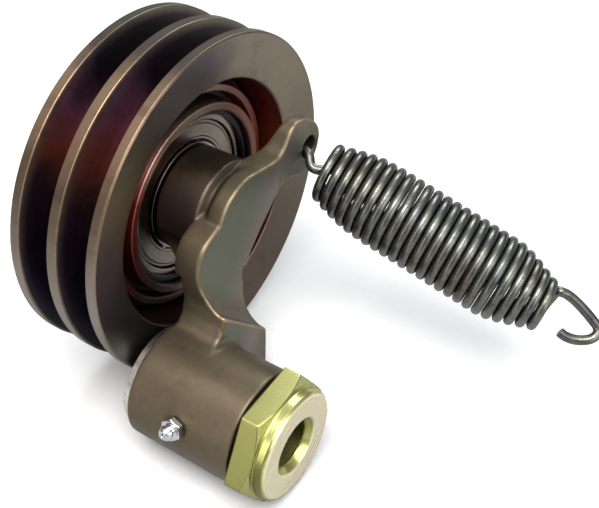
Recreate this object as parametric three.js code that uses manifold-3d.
// Belt tensioner idler: a two-groove V-belt pulley on a ball bearing, carried by a cast arm that
// swings on a greased pivot shaft and is pulled by an extension spring.
// Frame: millimetres, +Z up. The pivot shaft's axis is the Y axis, and the origin is the centre of
// its rear end face. The front, where the hex head is, faces -Y. The pulley's axis is parallel to
// Y, at (PULLEY_X, PULLEY_Z). Profiles of turned pieces are (radius, y) points.
import * as THREE from "three";
import { mergeVertices } from "three/addons/utils/BufferGeometryUtils.js";
import Module from "manifold-3d";

const wasm = await Module();
wasm.setup();

// ---------- shared dimensions ----------
const PULLEY_X = 38.9; // pulley axis from the pivot axis
const PULLEY_Z = 45.7;
const PULLEY_ORIGIN = [PULLEY_X, 0, PULLEY_Z];
const BARREL_R = 20.2; // pivot barrel
const BARREL_BORE_R = 14.2;
const WASHER_FRONT = 30.9; // front face of the bearing's flat washer

const FINISH = {
  bronze: { color: 0x6a5548, roughness: 0.45, metalness: 0.7 },
  castMetal: { color: 0x8a7d6a, roughness: 0.55, metalness: 0.6 },
  snapRing: { color: 0x3c3a38, roughness: 0.5, metalness: 0.8 },
  bearingSteel: { color: 0x9c9a96, roughness: 0.28, metalness: 1 },
  shieldSteel: { color: 0xb4b0a8, roughness: 0.3, metalness: 1 },
  cage: { color: 0x8f7a50, roughness: 0.45, metalness: 0.8 },
  ball: { color: 0xc8c8c8, roughness: 0.12, metalness: 1 },
  flatWasher: { color: 0x9c9a96, roughness: 0.4, metalness: 0.9 },
  lockWasher: { color: 0x55524e, roughness: 0.45, metalness: 0.9 },
  bolt: { color: 0xb9b59a, roughness: 0.35, metalness: 0.9 },
  zincYellow: { color: 0xc9c37f, roughness: 0.32, metalness: 0.85 },
  zincWhite: { color: 0xdadfda, roughness: 0.3, metalness: 0.9 },
  thrustWasher: { color: 0x6c5a3a, roughness: 0.5, metalness: 0.8 },
  brass: { color: 0xb08d4a, roughness: 0.4, metalness: 0.9 },
  fittingBody: { color: 0xc9cdd0, roughness: 0.25, metalness: 1 },
  checkBall: { color: 0xd0d0d0, roughness: 0.15, metalness: 1 },
  checkSpring: { color: 0x9a9a9a, roughness: 0.3, metalness: 1 },
  springGrey: { color: 0x50524f, roughness: 0.35, metalness: 0.9 },
};

// ---------- helpers ----------
const vector = (x, y, z) => new THREE.Vector3(x, y, z);
const vectors2 = (points) => points.map(([x, y]) => new THREE.Vector2(x, y));
const Y_AXIS = vector(0, 1, 0);

// A closed three.js geometry as a solid that can be joined and cut, turned to face out.
function solid(geometry) {
  const bare = new THREE.BufferGeometry()
    .setAttribute("position", geometry.getAttribute("position"))
    .setIndex(geometry.index);
  const merged = mergeVertices(bare, 1e-4);
  const vertProperties = new Float32Array(merged.attributes.position.array);
  const index = merged.index.array;
  const triangles = [];
  for (let i = 0; i < index.length; i += 3) {
    const [a, b, c] = index.slice(i, i + 3);
    if (a !== b && b !== c && c !== a) triangles.push([a, b, c]);
  }
  const make = (list) => {
    const triVerts = new Uint32Array(list.flat());
    return new wasm.Manifold(new wasm.Mesh({ numProp: 3, vertProperties, triVerts }));
  };
  const made = make(triangles);
  return made.volume() < 0 ? make(triangles.map(([a, b, c]) => [a, c, b])) : made;
}

// A solid as a flat-shaded geometry.
function geometryOf(manifold) {
  const mesh = manifold.getMesh();
  const geometry = new THREE.BufferGeometry();
  geometry.setAttribute("position", new THREE.BufferAttribute(mesh.vertProperties, 3));
  geometry.setIndex(new THREE.BufferAttribute(mesh.triVerts, 1));
  const flat = geometry.toNonIndexed();
  flat.computeVertexNormals();
  return flat;
}

// A closed geometry with its faces turned outwards.
function outward(geometry) {
  const loose = geometry.index ? geometry.toNonIndexed() : geometry;
  const position = loose.attributes.position;
  const corner = (i) => new THREE.Vector3().fromBufferAttribute(position, i);
  let volume = 0;
  for (let i = 0; i < position.count; i += 3) {
    volume += corner(i).dot(corner(i + 1).cross(corner(i + 2)));
  }
  if (volume >= 0) return loose;
  const flipped = position.array.slice();
  for (let i = 0; i < flipped.length; i += 9) {
    flipped.set(position.array.subarray(i + 6, i + 9), i + 3);
    flipped.set(position.array.subarray(i + 3, i + 6), i + 6);
  }
  const result = new THREE.BufferGeometry();
  result.setAttribute("position", new THREE.BufferAttribute(flipped, 3));
  result.computeVertexNormals();
  return result;
}

// A ring or disc turned about the Y axis. A profile that starts off the axis is closed.
function turned(profile, segments = 32) {
  const closed = profile[0][0] === 0 ? profile : [...profile, profile[0]];
  return new THREE.LatheGeometry(vectors2(closed), segments);
}

// A turned ring of rectangular section.
const ring = (inner, outer, front, rear, segments) =>
  turned([[inner, front], [outer, front], [outer, rear], [inner, rear]], segments);

// An XY outline extruded along +Z.
function extruded(points, depth, holes = []) {
  const shape = new THREE.Shape(vectors2(points));
  shape.holes = holes.map((hole) => new THREE.Path(vectors2(hole)));
  return new THREE.ExtrudeGeometry(shape, { depth, bevelEnabled: false });
}

// A flat (x, z) outline, as thick as from rear to front along Y.
const plate = (points, rear, front, holes) =>
  extruded(points, rear - front, holes).rotateX(Math.PI / 2).translate(0, rear, 0);

// Turns a geometry so that its X runs along direction and its Y stays, and moves it to origin.
function laidAlong(geometry, direction, origin) {
  const sideways = direction.clone().cross(Y_AXIS);
  const basis = new THREE.Matrix4().makeBasis(direction, Y_AXIS, sideways);
  return geometry.applyMatrix4(basis.setPosition(origin));
}

const polar = (radius, angle) => [radius * Math.cos(angle), radius * Math.sin(angle)];

const circle = (radius, sides, [x, z] = [0, 0], turn = 0) =>
  Array.from({ length: sides }, (_, i) => {
    const [dx, dz] = polar(radius, turn + (2 * Math.PI * i) / sides);
    return [x + dx, z + dz];
  });

const arc = (radius, start, end, steps) =>
  Array.from({ length: steps + 1 }, (_, i) => polar(radius, start + ((end - start) * i) / steps));

// A cylinder along Y at (x, z).
const rod = (radius, rear, front, segments, x = 0, z = 0) =>
  new THREE.CylinderGeometry(radius, radius, rear - front, segments)
    .translate(x, (rear + front) / 2, z);

// A wire of polygonal section along a curve.
function wire(radius, sides, extrudePath, steps) {
  const section = new THREE.Shape(vectors2(circle(radius, sides)));
  return new THREE.ExtrudeGeometry(section, { steps, bevelEnabled: false, extrudePath });
}

// Reads a table of (input, output) rows at x, straight between rows.
function interpolate(table, x) {
  let i = 1;
  while (i < table.length - 1 && x > table[i][0]) i++;
  const [x0, y0] = table[i - 1];
  const [x1, y1] = table[i];
  return THREE.MathUtils.mapLinear(x, x0, x1, y0, y1);
}

const part = new THREE.Group();
function add(name, geometry, finish, origin = [0, 0, 0]) {
  const mesh = new THREE.Mesh(outward(geometry), new THREE.MeshStandardMaterial(finish));
  mesh.name = name;
  mesh.position.set(...origin);
  part.add(mesh);
}
// The pieces turned about the pulley's axis are modelled on the Y axis and placed there.
const addOnPulley = (name, geometry, finish) => add(name, geometry, finish, PULLEY_ORIGIN);

// ---------- pulley ----------
const PULLEY_R = 60; // outside radius of the three flanges
const LAND_FRONT = 2.3; // front corner of the front flange
const PULLEY_REAR = 37; // rear corner of the rear flange
const GROOVE_STARTS = [6, 21.5]; // front edge of each groove at the outside radius
const GROOVE_TOP = 11.8; // groove width at the outside radius
const GROOVE_DEPTH = 12;
const GROOVE_HALF_ANGLE = THREE.MathUtils.degToRad(17);
const RECESS_R = 43.9; // recess in the front and rear faces
const HUB_BORE_R = 31.1; // seat of the bearing's outer ring

function sheave() {
  const floorR = PULLEY_R - GROOVE_DEPTH;
  const flankWidth = GROOVE_DEPTH * Math.tan(GROOVE_HALF_ANGLE);
  const grooves = GROOVE_STARTS.flatMap((start) => [
    [PULLEY_R, start],
    [floorR, start + flankWidth],
    [floorR, start + GROOVE_TOP - flankWidth],
    [PULLEY_R, start + GROOVE_TOP],
  ]);
  return turned([
    [PULLEY_R - 0.5, LAND_FRONT], [PULLEY_R, LAND_FRONT + 0.6],
    ...grooves,
    [PULLEY_R, PULLEY_REAR - 0.6], [PULLEY_R - 0.5, PULLEY_REAR],
    // rear recess
    [RECESS_R, 35], [RECESS_R - 0.8, 25], [35.6, 25], [34.6, 33],
    // hub bore, with the snap ring's groove at its front
    [28.5, 33], [28.5, 30.9], [HUB_BORE_R, 30.9], [HUB_BORE_R, 14.2],
    [32.6, 14.2], [32.6, 12.5], [31.2, 12.5], [31.2, 10.9], [31.8, 10.3],
    // front face: hub rim, annular channel, raised ring and recess
    [34.2, 10.3], [34.5, 18], [36.6, 18], [36.8, 13.6], [37.4, 13], [39.4, 13], [39.8, 13.6],
    [40.2, 20], [RECESS_R - 0.8, 20], [RECESS_R, 5.4], [RECESS_R + 0.5, 5],
  ], 48);
}

// Internal snap ring: an open ring with two plier eyes at its gap.
function snapRing() {
  const gapAngle = -0.95; // middle of the gap
  const halfGap = 0.14;
  const start = gapAngle + halfGap;
  const end = gapAngle + 2 * Math.PI - halfGap;
  const outerR = 32.3;
  const innerR = 29.1;
  const lugR = 24.9; // inner end of the two lugs
  const lugAngle = 0.16; // width of a lug's inner end
  const lugRoot = 0.2; // width of a lug where it meets the ring
  const eyes = [start + 0.085, end - 0.085].map((angle) => circle(1.0, 8, polar(26.7, angle)));
  const outline = [
    ...arc(outerR, start, end, 24),
    polar(lugR, end),
    polar(lugR, end - lugAngle),
    ...arc(innerR, start + lugRoot, end - lugRoot, 24).reverse(),
    polar(lugR, start + lugAngle),
    polar(lugR, start),
  ];
  return plate(outline, 14.0, 12.7, eyes);
}

addOnPulley("pulley_sheave", sheave(), FINISH.bronze);
addOnPulley("pulley_snap_ring", snapRing(), FINISH.snapRing);

// ---------- ball bearing ----------
const BEARING_OUTER_R = 30.9;
const BEARING_BORE_R = 15;
const BEARING_FRONT = 14.5;
const BEARING_REAR = 30.5;
const BEARING_MID = (BEARING_FRONT + BEARING_REAR) / 2;
const PITCH_R = 23; // ball circle
const BALL_R = 4.7625;
const BALLS = 9;
const OUTER_SHOULDER_R = 27.0;
const INNER_SHOULDER_R = 19.2;
const RACE_R = BALL_R + 0.25; // section radius of the raceway
const RACE_HALF_WIDTH = 3.4;
const SHOULDER_OFFSET = 3.5; // raceway edge of each shoulder, from the middle
const SHIELD_INSET = 0.7; // outer face of a shield, from the bearing's face
const SHIELD_THICKNESS = 0.6;
const CAGE_HALF_WIDTH = 5.6;

// Raceway points from front to rear; side is 1 for the outer ring and -1 for the inner.
function raceway(side) {
  const halfAngle = Math.asin(RACE_HALF_WIDTH / RACE_R);
  return arc(RACE_R, -halfAngle, halfAngle, 3)
    .map(([out, y]) => [PITCH_R + side * out, BEARING_MID + y]);
}

const bearingOuterRing = () => turned([
  [OUTER_SHOULDER_R, BEARING_FRONT],
  [OUTER_SHOULDER_R, BEARING_MID - SHOULDER_OFFSET],
  ...raceway(1),
  [OUTER_SHOULDER_R, BEARING_MID + SHOULDER_OFFSET],
  [OUTER_SHOULDER_R, BEARING_REAR],
  [BEARING_OUTER_R - 0.8, BEARING_REAR],
  [BEARING_OUTER_R, BEARING_REAR - 0.9],
  [BEARING_OUTER_R, BEARING_FRONT + 0.9],
  [BEARING_OUTER_R - 0.8, BEARING_FRONT],
]);

const bearingInnerRing = () => turned([
  [BEARING_BORE_R + 0.8, BEARING_FRONT],
  [BEARING_BORE_R, BEARING_FRONT + 0.8],
  [BEARING_BORE_R, BEARING_REAR - 0.8],
  [BEARING_BORE_R + 0.8, BEARING_REAR],
  [INNER_SHOULDER_R, BEARING_REAR],
  [INNER_SHOULDER_R, BEARING_MID + SHOULDER_OFFSET],
  ...raceway(-1).reverse(),
  [INNER_SHOULDER_R, BEARING_MID - SHOULDER_OFFSET],
  [INNER_SHOULDER_R, BEARING_FRONT],
]);

const shield = (front) => ring(19.9, 26.7, front, front + SHIELD_THICKNESS);

const ballAngle = (i) => (2 * Math.PI * i) / BALLS;

// A sleeve with a radial pocket for each ball.
function cage() {
  let sleeve = solid(ring(21.7, 24.3, BEARING_MID - CAGE_HALF_WIDTH, BEARING_MID + CAGE_HALF_WIDTH));
  for (let i = 0; i < BALLS; i++) {
    const pocket = new THREE.CylinderGeometry(5.3, 5.3, 8, 8)
      .rotateZ(Math.PI / 2)
      .translate(PITCH_R, BEARING_MID, 0)
      .rotateY(-ballAngle(i));
    sleeve = sleeve.subtract(solid(pocket));
  }
  return geometryOf(sleeve);
}

function addBalls() {
  for (let i = 0; i < BALLS; i++) {
    const ball = new THREE.SphereGeometry(BALL_R, 10, 7).rotateX(Math.PI / 2);
    const [dx, dz] = polar(PITCH_R, ballAngle(i));
    const origin = [PULLEY_X + dx, BEARING_MID, PULLEY_Z + dz];
    add(`bearing_ball_${i + 1}`, ball, FINISH.ball, origin);
  }
}

// A flat ring with a narrow gap.
function lockWasher() {
  const halfGap = 0.12;
  const end = 2 * Math.PI - halfGap;
  const outline = [...arc(12, halfGap, end, 22), ...arc(7.6, halfGap, end, 22).reverse()];
  return plate(outline, 36.0, 33.7);
}

// A hex head with its corners turned down, and a plain shank to the front of it.
function bearingBolt() {
  const head = solid(turned([[0, 36.3], [11.6, 36.3], [11.6, 44.4], [10.2, 45.2], [0, 45.2]], 24));
  const hexBar = solid(plate(circle(12.1, 6), 46, 36));
  const shank = solid(turned([[0, 5.0], [6.2, 5.0], [7.0, 5.9], [7.0, 36.6], [0, 36.6]], 24));
  return geometryOf(head.intersect(hexBar).add(shank));
}

addOnPulley("bearing_outer_ring", bearingOuterRing(), FINISH.bearingSteel);
addOnPulley("bearing_inner_ring", bearingInnerRing(), FINISH.bearingSteel);
addOnPulley("bearing_front_shield", shield(BEARING_FRONT + SHIELD_INSET), FINISH.shieldSteel);
addOnPulley(
  "bearing_rear_shield",
  shield(BEARING_REAR - SHIELD_INSET - SHIELD_THICKNESS),
  FINISH.shieldSteel,
);
addOnPulley("bearing_cage", cage(), FINISH.cage);
addBalls();
addOnPulley(
  "bearing_flat_washer",
  ring(7.4, 19.0, WASHER_FRONT, WASHER_FRONT + 2.5, 30),
  FINISH.flatWasher,
);
addOnPulley("bearing_lock_washer", lockWasher(), FINISH.lockWasher);
addOnPulley("bearing_bolt", bearingBolt(), FINISH.bolt);

// ---------- grease fitting's place ----------
const FITTING_ANGLE = THREE.MathUtils.degToRad(161); // round the barrel from +X towards +Z
const FITTING_Y = -22;

// Moves a geometry built along +Y onto the barrel's surface, pointing radially out.
function onFitting(geometry) {
  const out = vector(Math.cos(FITTING_ANGLE), 0, Math.sin(FITTING_ANGLE));
  return geometry
    .applyQuaternion(new THREE.Quaternion().setFromUnitVectors(Y_AXIS, out))
    .translate(out.x * BARREL_R, FITTING_Y, out.z * BARREL_R);
}

// ---------- arm casting ----------
const ARM_FRONT = -10.8; // arm plate
const ARM_REAR = -1.0;
const EAR_REAR = -5.8; // rear face of the thinner spring ear
const EAR_X = 36.1; // spring ear hole, from the pulley axis
const EAR_Z = 8.5;
const EAR_HOLE_R = 4.1;
const FOOT_FRONT = -20.0; // thick foot
const FOOT_REAR = -3.0;
const BOSS_R = 18.3; // bearing boss
const BOSS_REAR = 14.2;
const HUB_R = 17.3; // hub disc in front of the boss
const NECK_R = 16.0; // neck between hub disc and boss
const SPINDLE_R = 14.85;
const SPINDLE_END = 30.1;
const SPINDLE_BORE_R = 7.15;
const BARREL_REAR = -2.1;
const BARREL_FRONT = -42.6;
const BLEND_REACH = 8.6; // reach of the foot's blend over the arm's front face

// Stretches of the arm's outline as (x, z) from the pulley's axis, shared by several outlines.
const FOOT_CORNER = [-38.35, -46.0];
const FOOT_LEFT_EDGE = [
  [-36.5, -26.6], [-33.5, -25.7], [-31.0, -24.3], [-28.5, -21.8], [-27.3, -17.5],
];
const ARM_LOWER_EDGE = [[18.2, 2.2], [14.3, -0.6], [7.0, -6.8], [0.0, -13.6], [-2.9, -18.0]];
const FOOT_RIGHT_EDGE = [
  [-4.7, -41.0], [-5.3, -56.0], [-9.5, -59.5], [-17, -60.5], [-27.0, -62.0],
];

// From the pulley's axis to the part's frame.
const fromPulley = ([x, z]) => [x + PULLEY_X, z + PULLEY_Z];

const ARM_OUTLINE = [
  FOOT_CORNER, [-40.0, -28.4], ...FOOT_LEFT_EDGE,
  // up the left side and over the hub
  [-26.7, -14.5], [-27.9, -9.3], [-28.1, -4.5], [-27.4, -0.4], [-26.0, 2.6], [-23.8, 4.9],
  [-21.0, 6.3], [-17.4, 7.6], [-10, 10], [-3, 14], [4, 16.2], [9.5, 15.7], [12.6, 14.8],
  [15.8, 14.3], [18.6, 14.8], [21.0, 16.4], [22.9, 18.6], [25.2, 21.2],
  // round the spring ear
  [28.4, 22.6], [33.8, 21.4], [37.5, 19.2], [40.9, 16.0], [42.7, 12.6], [42.9, 9.0],
  [41.7, 5.6], [39.7, 2.7], [37.2, 0.6], [34.6, -0.7], [31.6, -0.7], [28.6, 0.7],
  [25.0, 2.4], [21.6, 3.0],
  ...ARM_LOWER_EDGE, [-4.4, -23.5], [-4.9, -30.2], ...FOOT_RIGHT_EDGE,
].map(fromPulley);
const FOOT_OUTLINE = [FOOT_CORNER, ...FOOT_LEFT_EDGE, ...FOOT_RIGHT_EDGE].map(fromPulley);

function armPlate() {
  // The plate thins from behind, from the hub to the ear; points are (x, y).
  const thinning = extruded(
    [[53, 1], [53, ARM_REAR], [65.5, EAR_REAR], [95, EAR_REAR], [95, 1]],
    60,
  ).translate(0, 0, 30);
  // Behind the lower part of the arm the rear face steps forward.
  const lowerRear = plate(
    [[-20, 10], [-20, 38.7], [12.5, 38.7], [24, 28], [42, 14], [45, -20], [-20, -20]],
    1,
    FOOT_REAR,
  );
  return solid(plate(ARM_OUTLINE, ARM_REAR, ARM_FRONT))
    .subtract(solid(thinning))
    .subtract(solid(lowerRear));
}

// Concave blend from the foot's front face to the arm's, along the foot's upper right edge.
function footBlend() {
  const [leftX, leftZ] = fromPulley([-27.4, -17.5]);
  const [rightX, rightZ] = fromPulley(FOOT_RIGHT_EDGE[0]);
  const left = vector(leftX, 0, leftZ);
  const right = vector(rightX, 0, rightZ);
  const along = right.clone().sub(left).normalize();
  const awayFromBarrel = vector(-along.z, 0, along.x);
  const overrun = 2; // past each end of the edge
  const rise = FOOT_FRONT - ARM_FRONT; // negative, towards the front
  // (distance from the edge, y from the arm's front face)
  const profile = [[-3, 2], [BLEND_REACH, 2], [BLEND_REACH, 0]];
  for (let i = 1; i <= 6; i++) {
    const angle = (Math.PI / 2) * (i / 6);
    profile.push([BLEND_REACH - BLEND_REACH * Math.sin(angle), rise * (1 - Math.cos(angle))]);
  }
  profile.push([-3, rise]);
  const bar = laidAlong(
    extruded(profile, left.distanceTo(right) + 2 * overrun),
    awayFromBarrel,
    right.clone().addScaledVector(along, overrun).setY(ARM_FRONT),
  );
  const withinArm = plate(ARM_OUTLINE, ARM_FRONT + 3, FOOT_FRONT - 1);
  const leftOfFoot = plate(
    [[-60, -30], ...FOOT_LEFT_EDGE, [-27.1, -14.5], [-27.1, 20], [-60, 20]].map(fromPulley),
    ARM_FRONT + 4,
    FOOT_FRONT - 2,
  );
  return solid(bar).intersect(solid(withinArm)).subtract(solid(leftOfFoot));
}

// Hub disc, shallow neck, bearing boss and the spindle inside the bearing.
function hubAndSpindle() {
  const body = turned([
    [0, ARM_FRONT], [HUB_R - 0.3, ARM_FRONT], [HUB_R, ARM_FRONT + 0.4], [HUB_R, -5.2],
    [NECK_R, -4.5], [NECK_R, -2.5], [BOSS_R, -1.6], [BOSS_R, BOSS_REAR - 0.6],
    [BOSS_R - 0.6, BOSS_REAR], [SPINDLE_R, BOSS_REAR], [SPINDLE_R, SPINDLE_END - 1],
    [SPINDLE_R - 1, SPINDLE_END], [0, SPINDLE_END],
  ], 40);
  // In front of the boss, the hub disc and neck end at the arm's lower edge.
  const belowArm = plate(
    [[30, 2.2], ...ARM_LOWER_EDGE, [-4, -25], [30, -25]],
    -1.6,
    ARM_FRONT - 1,
  );
  return solid(body).subtract(solid(belowArm)).translate(PULLEY_ORIGIN);
}

// Web behind the arm, from the underside of the boss down to the rear face.
function web() {
  const halfWidth = 13.5;
  const downArm = vector(-0.636, 0, -0.772).normalize(); // roughly from the hub to the pivot
  const sideways = downArm.clone().cross(Y_AXIS);
  // (distance from the pulley's axis, y)
  const profile = [
    [6, -4], [6, 12.2], [12.9, 12.2], [16.2, 7.2], [20.1, 2.0], [24.4, FOOT_REAR], [24.4, -4],
  ];
  const origin = vector(...PULLEY_ORIGIN).addScaledVector(sideways, -halfWidth);
  return solid(laidAlong(extruded(profile, 2 * halfWidth), downArm, origin));
}

const barrel = () => solid(turned([
  [0, BARREL_FRONT], [BARREL_R - 0.6, BARREL_FRONT], [BARREL_R, BARREL_FRONT + 0.6],
  [BARREL_R, BARREL_REAR - 0.5], [BARREL_R - 0.5, BARREL_REAR], [0, BARREL_REAR],
], 40));

function armCasting() {
  const earHole = rod(EAR_HOLE_R, 2, -14, 20, PULLEY_X + EAR_X, PULLEY_Z + EAR_Z);
  const spindleBore = rod(SPINDLE_BORE_R, SPINDLE_END + 2, 3.5, 24, PULLEY_X, PULLEY_Z);
  const fittingHole = onFitting(turned([[0, -9], [3.0, -9], [3.0, 0.0], [3.6, 3], [0, 3]], 16));
  const casting = armPlate()
    .add(solid(plate(FOOT_OUTLINE, FOOT_REAR, FOOT_FRONT)))
    .add(footBlend())
    .add(hubAndSpindle())
    .add(web())
    .add(barrel())
    .subtract(solid(rod(BARREL_BORE_R, 0, -46, 36)))
    .subtract(solid(earHole))
    .subtract(solid(spindleBore))
    .subtract(solid(fittingHole));
  return geometryOf(casting);
}

add("arm_casting", armCasting(), FINISH.castMetal);

// ---------- pivot ----------
const BUSH_BORE_R = 11.3;
const BUSH_R = 14.0;
const JOURNAL_R = 11.0;
const HEX_REAR = -43.9; // hex head of the pivot shaft
const HEX_FRONT = -51.5;
const HEX_CORNER_R = 23.6;
const HEX_TURN = THREE.MathUtils.degToRad(3);
const SHAFT_FRONT = -55.5; // round boss face in front of the hex
const HEAD_BOSS_R = 19.2;
const HOLE_R = 8.2; // blind hole in the front end
const HOLE_SINK_R = 10.3;

function pivotShaft() {
  const headBoss = turned([
    [0, SHAFT_FRONT], [HEAD_BOSS_R - 1.0, SHAFT_FRONT], [HEAD_BOSS_R, SHAFT_FRONT + 1.0],
    [HEAD_BOSS_R, HEX_FRONT + 1], [0, HEX_FRONT + 1],
  ], 40);
  // The hex is cut from this blank, which chamfers its corners.
  const hexBlank = turned([
    [0, HEX_REAR], [22.9, HEX_REAR], [23.7, HEX_REAR - 0.5], [23.7, HEX_FRONT + 1.7],
    [20.6, HEX_FRONT], [0, HEX_FRONT],
  ], 48);
  const hexBar = plate(circle(HEX_CORNER_R, 6, [0, 0], HEX_TURN), HEX_REAR + 1, HEX_FRONT - 1);
  const journal = turned([
    [0, HEX_REAR - 1], [JOURNAL_R, HEX_REAR - 1], [JOURNAL_R, -2.1], [10.0, -1.9],
    [10.0, -0.8], [9.2, 0], [0, 0],
  ], 36);
  const hole = turned([
    [0, SHAFT_FRONT - 1], [HOLE_SINK_R + 0.7, SHAFT_FRONT - 1], [HOLE_SINK_R, SHAFT_FRONT],
    [HOLE_R, SHAFT_FRONT + 2.4], [HOLE_R, -18], [0, -14.5],
  ], 32);
  const shaft = solid(headBoss)
    .add(solid(hexBlank).intersect(solid(hexBar)))
    .add(solid(journal))
    .subtract(solid(hole));
  return geometryOf(shaft);
}

const rearCollar = () => turned([
  [10.3, -1.8], [17.5, -1.8], [17.9, -1.4], [17.9, 0.8], [17.5, 1.2], [10.3, 1.2],
], 40);

const bush = (front, rear) => ring(BUSH_BORE_R, BUSH_R, front, rear, 36);

add("pivot_shaft", pivotShaft(), FINISH.zincYellow);
add("rear_thrust_collar", rearCollar(), FINISH.zincWhite);
add("front_thrust_washer", ring(11.4, 17.0, -43.65, -42.85, 36), FINISH.thrustWasher);
add("front_bush", bush(-42.3, -27), FINISH.brass);
add("rear_bush", bush(-17, -2.4), FINISH.brass);

// ---------- grease fitting, built along +Y from the barrel's surface ----------
function fittingBody() {
  const stem = turned([
    [0, -5.6], [2.8, -5.6], [2.8, 0.4], [3.2, 0.4], [3.2, 2.7], [1.9, 3.1], [1.9, 3.8],
    [2.6, 4.4], [2.6, 4.9], [1.6, 6.3], [0, 6.3],
  ], 16);
  const hex = new THREE.CylinderGeometry(4.0, 4.0, 2.4, 6).translate(0, 1.5, 0);
  const passage = turned([
    [0, -7], [0.8, -7], [0.8, 0.8], [1.25, 1.3], [1.25, 5.2], [0.6, 5.7], [0.6, 7.5], [0, 7.5],
  ], 12);
  return geometryOf(solid(stem).add(solid(hex)).subtract(solid(passage)));
}

class CheckSpringHelix extends THREE.Curve {
  getPoint(t, target = new THREE.Vector3()) {
    const [x, z] = polar(0.85, 2 * Math.PI * 2.5 * t);
    return target.set(x, 1.75 + 1.25 * t, z);
  }
}

const checkBall = () => new THREE.SphereGeometry(0.95, 8, 6).translate(0, 4.78, 0);
const checkSpring = () => wire(0.18, 4, new CheckSpringHelix(), 22);

add("grease_fitting_body", onFitting(fittingBody()), FINISH.fittingBody);
add("grease_check_ball", onFitting(checkBall()), FINISH.checkBall);
add("grease_check_spring", onFitting(checkSpring()), FINISH.checkSpring);

// ---------- extension spring ----------
const WIRE_R = 1.72;
const SPRING_START = vector(70.39, -21.19, 50.87);
const SPRING_END = vector(78.77, -102.8, 23.06);
const SPRING_TURNS = 23.5;
const START_ANGLE = 3.6; // of the coils' first point, in radians
const END_TURN = START_ANGLE + 0.25 + 2 * Math.PI * SPRING_TURNS; // winding angle of the last
const COIL_STEPS_PER_TURN = 9;
const HOOK_STEPS = 18;
const SPRING_LENGTH = SPRING_START.distanceTo(SPRING_END);

// (distance along the spring, outside radius of the coils)
const COIL_RADII = [
  [-2, 10.2], [0, 10.6], [3.8, 11.7], [6.5, 12.6], [10.5, 13.6], [15, 14.5], [22, 14.9],
  [68, 15.0], [72, 14.2], [76, 12.9], [80, 11.3], [84, 9.9], [SPRING_LENGTH, 8.8],
];
// (winding angle, distance along the spring): the first coil is opened by the hook, and the
// rest are evenly pitched.
const COIL_ADVANCE = [[0, -1.2], [1.33, -0.7], [7.61, 3.8], [END_TURN, SPRING_LENGTH]];

// Near hook: behind the ear, through its hole and across the middle of the first coil; (x, y, z).
const NEAR_HOOK = [
  [76.6, -2.9, 54.8], [74.6, -3.3, 54.3], [73.4, -5.0, 54.0], [73.1, -8.3, 53.9],
  [73.2, -10.6, 53.8], [71.9, -13.0, 53.1], [69.9, -14.4, 51.3], [69.2, -16.2, 50.5],
  [69.9, -18.4, 50.5], [71.6, -19.9, 50.2], [74.4, -20.3, 48.9],
];
// Far hook: out along the axis and round in an open loop; (x, y, z).
const FAR_HOOK = [
  [83.2, -103.6, 28.1], [84.7, -106.7, 26.8], [84.7, -111.1, 24.6], [84.2, -116.6, 21.0],
  [83.5, -119.8, 18.5], [80.9, -119.4, 16.7], [78.1, -115.8, 15.9], [76.4, -111.5, 16.5],
  [76.1, -109.3, 17.7],
];

// Puts one ring of the wire at each listed point, so that the hooks are finer than the coils.
class WirePath extends THREE.CatmullRomCurve3 {
  getTangentAt(u, target) {
    return this.getTangent(u, target);
  }
  getSpacedPoints(divisions) {
    return this.getPoints(divisions);
  }
}

function tensionSpring() {
  const axis = SPRING_END.clone().sub(SPRING_START).normalize();
  const side = vector(-1, 0, 0).addScaledVector(axis, axis.x).normalize();
  const up = side.clone().cross(axis).normalize();
  const onCoil = (turn) => {
    const distance = interpolate(COIL_ADVANCE, turn);
    const radius = interpolate(COIL_RADII, distance) - WIRE_R;
    const [sideways, upward] = polar(radius, START_ANGLE - turn);
    return SPRING_START.clone()
      .addScaledVector(axis, distance)
      .addScaledVector(side, sideways)
      .addScaledVector(up, upward);
  };
  const hook = (points) =>
    new THREE.CatmullRomCurve3(points, false, "centripetal").getSpacedPoints(HOOK_STEPS);
  const toVectors = (rows) => rows.map((row) => vector(...row));

  const coils = [];
  const steps = Math.round((END_TURN / (2 * Math.PI)) * COIL_STEPS_PER_TURN);
  for (let i = 1; i < steps; i++) coils.push(onCoil((END_TURN * i) / steps));
  const points = [
    ...hook([...toVectors(NEAR_HOOK), onCoil(0)]),
    ...coils,
    ...hook([onCoil(END_TURN), ...toVectors(FAR_HOOK)]),
  ];
  return wire(WIRE_R, 5, new WirePath(points, false, "centripetal"), points.length - 1);
}

add("tension_spring", tensionSpring(), FINISH.springGrey);

export default part;
